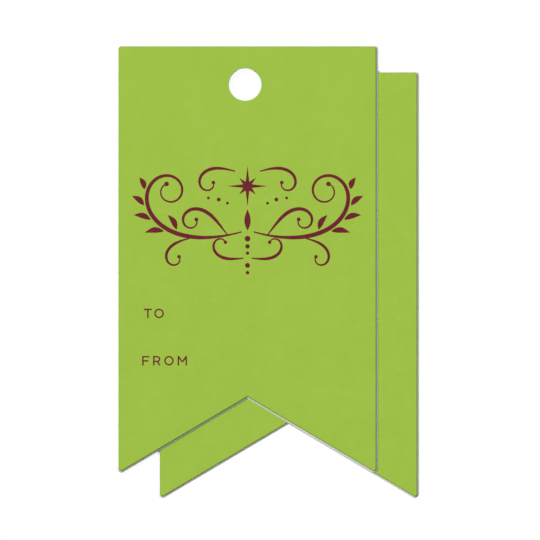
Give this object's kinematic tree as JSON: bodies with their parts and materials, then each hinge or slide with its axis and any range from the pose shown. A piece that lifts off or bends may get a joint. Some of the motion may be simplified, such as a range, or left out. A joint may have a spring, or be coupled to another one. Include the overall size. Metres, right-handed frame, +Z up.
{
  "type": "gift tag",
  "caption": "Flat swallow-tail paper gift tag made as a loose pair of fanned cards, green paper on both sides of a pale bevel-cut core, with a punched string hole at the square end.",
  "frame": {"origin": "on the surface the pair lies on, at the middle of the fanned pair's outline", "axes": "+Y along the cards towards the string hole, +X across them to the right of the printed face, +Z up out of the printed face"},
  "size_m": [0.0588, 0.0882, 0.0012],
  "materials": {
    "green_paper": "uncoated matte paper, leaf green",
    "pale_core_board": "uncoated off-white board, cut edge showing",
    "dark_red_ink": "dark wine-red printing ink on paper"
  },
  "bodies": {
    "rear_tag": {"rear_back_paper": "green_paper", "rear_core_board": "pale_core_board", "rear_face_paper": "green_paper"},
    "front_tag": {"front_back_paper": "green_paper", "front_core_board": "pale_core_board", "front_face_paper": "green_paper"}
  },
  "joints": [
    {"name": "front_tag_lift", "type": "slide", "parent": "rear_tag", "child": "front_tag", "axis": [0, 0, 1], "range_m": [0, 0.03]}
  ]
}
